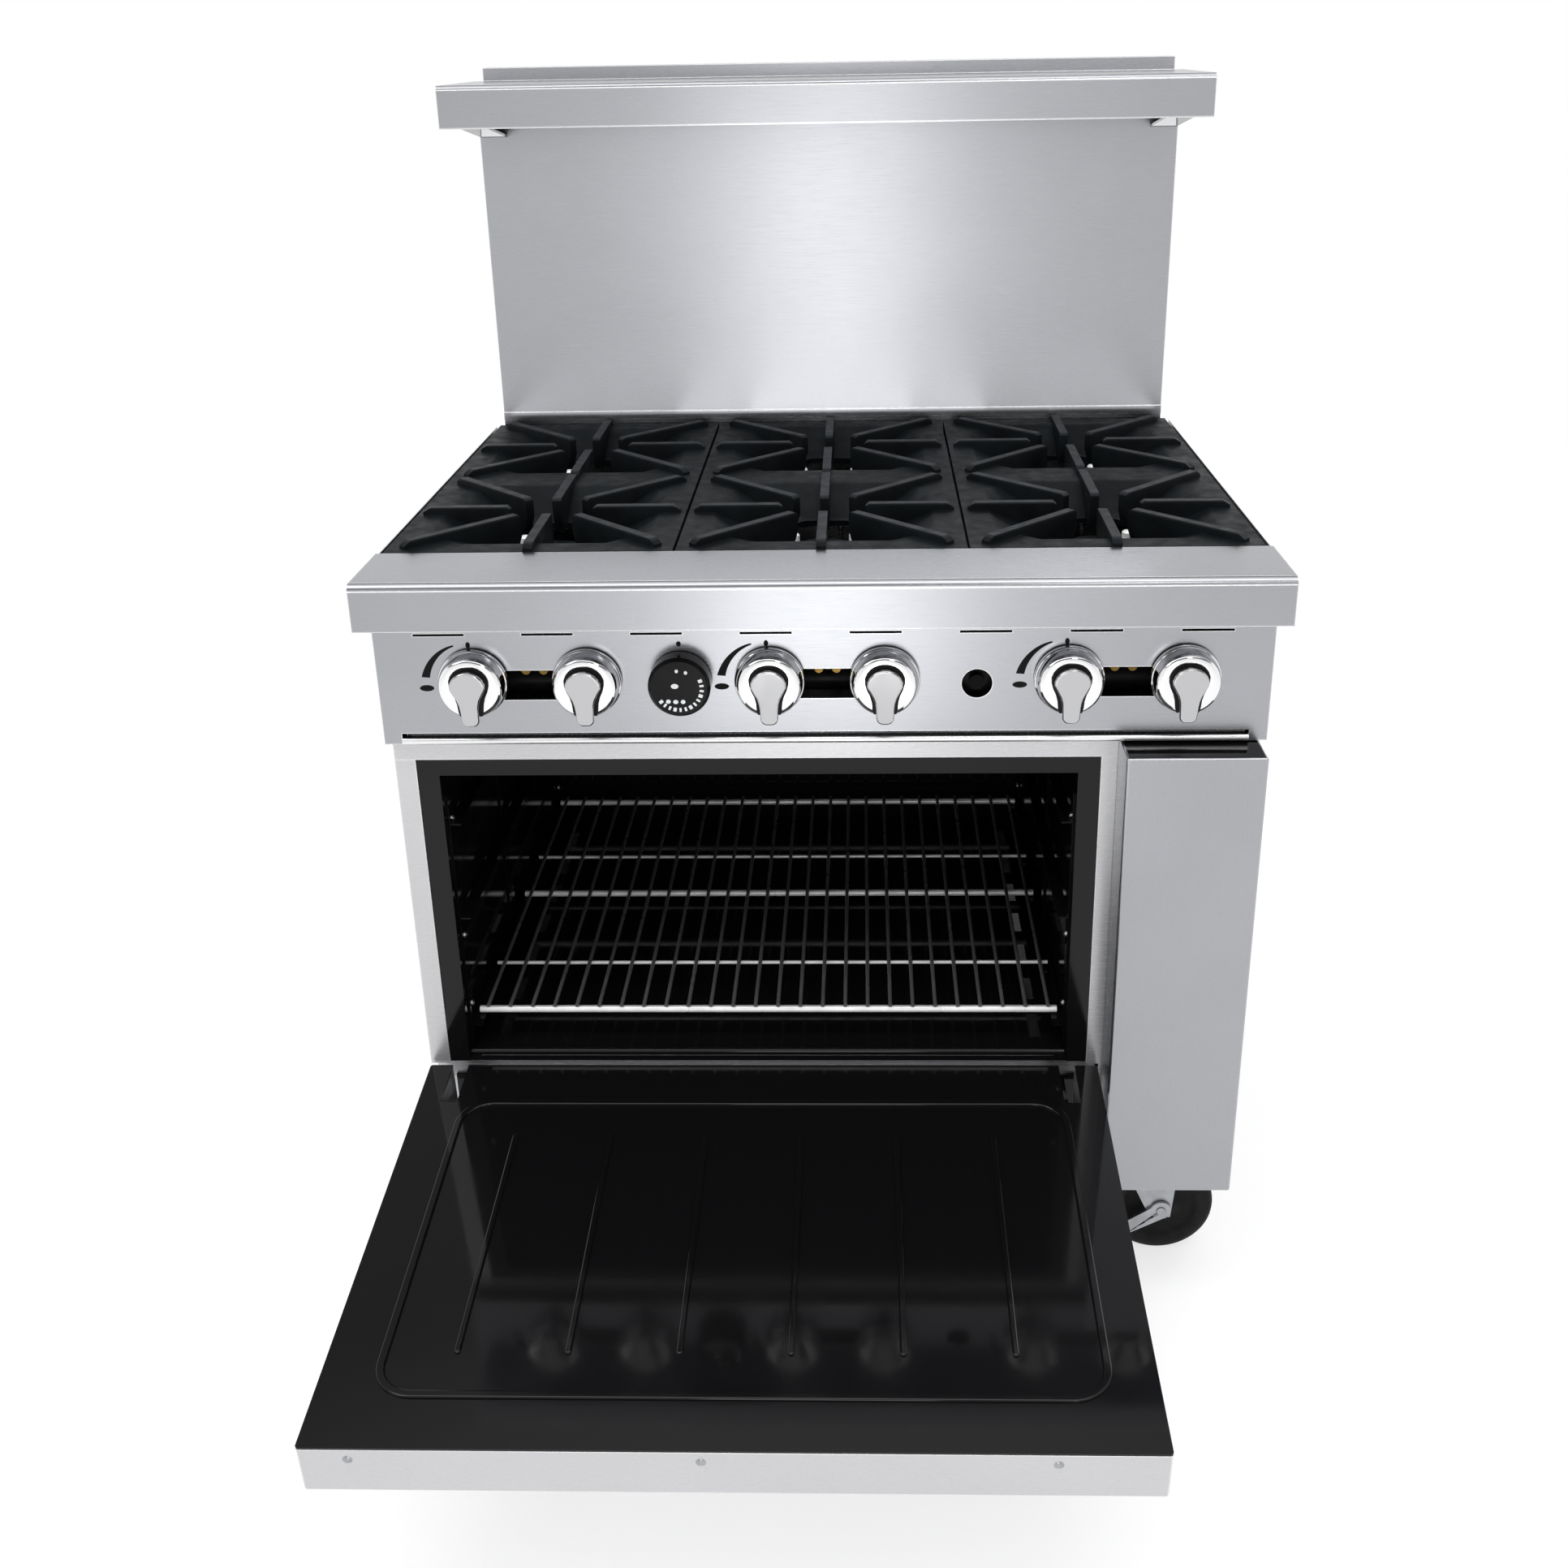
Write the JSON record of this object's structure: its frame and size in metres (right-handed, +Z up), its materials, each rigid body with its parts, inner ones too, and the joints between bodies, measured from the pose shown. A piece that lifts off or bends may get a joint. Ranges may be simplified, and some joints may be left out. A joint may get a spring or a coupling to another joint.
{
  "type": "commercial gas range",
  "caption": "Free-standing stainless restaurant gas range on casters, with lever knobs, cast grates, high shelf and an oven with a drop-down door.",
  "frame": {"origin": "on the floor under the middle of the whole range with its oven door open, halfway across its width", "axes": "+X to the right as seen from the front, +Y from the front to the back, +Z up"},
  "size_m": [0.9144, 1.2704, 1.334],
  "materials": {
    "stainless": "brushed stainless sheet",
    "galvanised_steel": "galvanised sheet",
    "black_enamel": "glossy porcelain enamel",
    "cast_iron": "matte, fine sand texture",
    "chrome_wire": "bright plated wire",
    "chrome": "polished",
    "brass": "machined",
    "aluminium": "drawn tube",
    "black_pipe": "satin black",
    "mineral_wool": "fibrous wool slab",
    "brushed_tube": "brushed stainless tube",
    "zinc_steel": "zinc plated",
    "black_plastic": "moulded phenolic",
    "rubber_tread": "black rubber on a moulded core"
  },
  "bodies": {
    "range_body": {"left_side_panel": "stainless", "right_side_panel": "stainless", "back_panel": "galvanised_steel", "base_frame": "galvanised_steel", "front_frame": "stainless", "oven_cavity": "black_enamel", "oven_deck": "black_enamel", "oven_insulation": "mineral_wool", "rack_guides": "black_enamel", "oven_burner": "black_pipe", "right_box_panel": "stainless", "control_panel": "stainless", "front_ledge": "stainless", "cooktop_frame": "stainless", "burner_heads": "cast_iron", "burner_venturis": "cast_iron", "burner_valves": "brass", "pilot_valves": "brass", "pilot_tubes": "aluminium", "gas_manifold": "black_pipe", "gas_inlet": "black_pipe", "thermostat_body": "black_pipe", "safety_valve": "black_pipe", "guard_front": "stainless", "guard_back": "galvanised_steel", "high_shelf": "stainless", "shelf_brackets": "black_enamel", "hinge_brackets": "black_enamel", "caster_plates": "zinc_steel", "flue_duct": "galvanised_steel"},
    "oven_door": {"door_shell": "stainless", "door_liner": "black_enamel", "door_insulation": "mineral_wool", "door_handle": "brushed_tube", "handle_brackets": "brushed_tube", "door_hinge_pins": "zinc_steel", "door_screws": "zinc_steel"},
    "rack": {"oven_rack": "chrome_wire"},
    "tray": {"crumb_tray": "stainless"},
    "left_grate": {"grate_left": "cast_iron"},
    "center_grate": {"grate_center": "cast_iron"},
    "right_grate": {"grate_right": "cast_iron"},
    "knob_1": {"burner_knob_1": "chrome"},
    "knob_2": {"burner_knob_2": "chrome"},
    "knob_3": {"burner_knob_3": "chrome"},
    "knob_4": {"burner_knob_4": "chrome"},
    "knob_5": {"burner_knob_5": "chrome"},
    "knob_6": {"burner_knob_6": "chrome"},
    "thermostat": {"thermostat_knob": "black_plastic"},
    "reset": {"reset_button": "black_plastic"},
    "caster_1": {"caster_fork_1": "zinc_steel"},
    "wheel_1": {"caster_wheel_1": "rubber_tread"},
    "brake_1": {"brake_lever_1": "zinc_steel"},
    "caster_2": {"caster_fork_2": "zinc_steel"},
    "wheel_2": {"caster_wheel_2": "rubber_tread"},
    "brake_2": {"brake_lever_2": "zinc_steel"},
    "caster_3": {"caster_fork_3": "zinc_steel"},
    "wheel_3": {"caster_wheel_3": "rubber_tread"},
    "caster_4": {"caster_fork_4": "zinc_steel"},
    "wheel_4": {"caster_wheel_4": "rubber_tread"}
  },
  "joints": [
    {"name": "door_hinge", "type": "hinge", "parent": "range_body", "child": "oven_door", "pos_m": [0, -0.18442, 0.2405], "axis": [1, 0, 0], "range_deg": [-95, 0]},
    {"name": "rack_slide", "type": "slide", "parent": "range_body", "child": "rack", "axis": [0, -1, 0], "range_m": [0, 0.4]},
    {"name": "tray_slide", "type": "slide", "parent": "range_body", "child": "tray", "axis": [0, -1, 0], "range_m": [0, 0.5]},
    {"name": "left_grate_lift", "type": "slide", "parent": "range_body", "child": "left_grate", "axis": [0, 0, 1], "range_m": [0, 0.08]},
    {"name": "center_grate_lift", "type": "slide", "parent": "range_body", "child": "center_grate", "axis": [0, 0, 1], "range_m": [0, 0.08]},
    {"name": "right_grate_lift", "type": "slide", "parent": "range_body", "child": "right_grate", "axis": [0, 0, 1], "range_m": [0, 0.08]},
    {"name": "knob_1_turn", "type": "hinge", "parent": "range_body", "child": "knob_1", "pos_m": [-0.353, -0.14992, 0.76], "axis": [0, -1, 0], "range_deg": [0, 90]},
    {"name": "knob_2_turn", "type": "hinge", "parent": "range_body", "child": "knob_2", "pos_m": [-0.237, -0.14992, 0.76], "axis": [0, -1, 0], "range_deg": [0, 90]},
    {"name": "knob_3_turn", "type": "hinge", "parent": "range_body", "child": "knob_3", "pos_m": [-0.052, -0.14992, 0.76], "axis": [0, -1, 0], "range_deg": [0, 90]},
    {"name": "knob_4_turn", "type": "hinge", "parent": "range_body", "child": "knob_4", "pos_m": [0.064, -0.14992, 0.76], "axis": [0, -1, 0], "range_deg": [0, 90]},
    {"name": "knob_5_turn", "type": "hinge", "parent": "range_body", "child": "knob_5", "pos_m": [0.249, -0.14992, 0.76], "axis": [0, -1, 0], "range_deg": [0, 90]},
    {"name": "knob_6_turn", "type": "hinge", "parent": "range_body", "child": "knob_6", "pos_m": [0.365, -0.14992, 0.76], "axis": [0, -1, 0], "range_deg": [0, 90]},
    {"name": "thermostat_turn", "type": "hinge", "parent": "range_body", "child": "thermostat", "pos_m": [-0.142, -0.14992, 0.76], "axis": [0, -1, 0], "range_deg": [0, 300]},
    {"name": "reset_press", "type": "slide", "parent": "range_body", "child": "reset", "axis": [0, 1, 0], "range_m": [0, 0.006], "stiffness_N_per_m": 400, "springref_m": -0.002},
    {"name": "caster_1_swivel", "type": "hinge", "parent": "range_body", "child": "caster_1", "pos_m": [-0.356, -0.08292, 0.145], "axis": [0, 0, 1], "continuous": true},
    {"name": "wheel_1_roll", "type": "hinge", "parent": "caster_1", "child": "wheel_1", "pos_m": [-0.39, -0.08292, 0.0635], "axis": [0, 1, 0], "continuous": true},
    {"name": "brake_1_lift", "type": "hinge", "parent": "caster_1", "child": "brake_1", "pos_m": [-0.39, -0.08292, 0.0635], "axis": [0, -1, 0], "range_deg": [0, 25]},
    {"name": "caster_2_swivel", "type": "hinge", "parent": "range_body", "child": "caster_2", "pos_m": [0.356, -0.08292, 0.145], "axis": [0, 0, 1], "continuous": true},
    {"name": "wheel_2_roll", "type": "hinge", "parent": "caster_2", "child": "wheel_2", "pos_m": [0.39, -0.08292, 0.0635], "axis": [0, 1, 0], "continuous": true},
    {"name": "brake_2_lift", "type": "hinge", "parent": "caster_2", "child": "brake_2", "pos_m": [0.39, -0.08292, 0.0635], "axis": [0, 1, 0], "range_deg": [0, 25]},
    {"name": "caster_3_swivel", "type": "hinge", "parent": "range_body", "child": "caster_3", "pos_m": [-0.356, 0.49508, 0.145], "axis": [0, 0, 1], "continuous": true},
    {"name": "wheel_3_roll", "type": "hinge", "parent": "caster_3", "child": "wheel_3", "pos_m": [-0.356, 0.52908, 0.0635], "axis": [1, 0, 0], "continuous": true},
    {"name": "caster_4_swivel", "type": "hinge", "parent": "range_body", "child": "caster_4", "pos_m": [0.356, 0.49508, 0.145], "axis": [0, 0, 1], "continuous": true},
    {"name": "wheel_4_roll", "type": "hinge", "parent": "caster_4", "child": "wheel_4", "pos_m": [0.356, 0.52908, 0.0635], "axis": [1, 0, 0], "continuous": true}
  ]
}
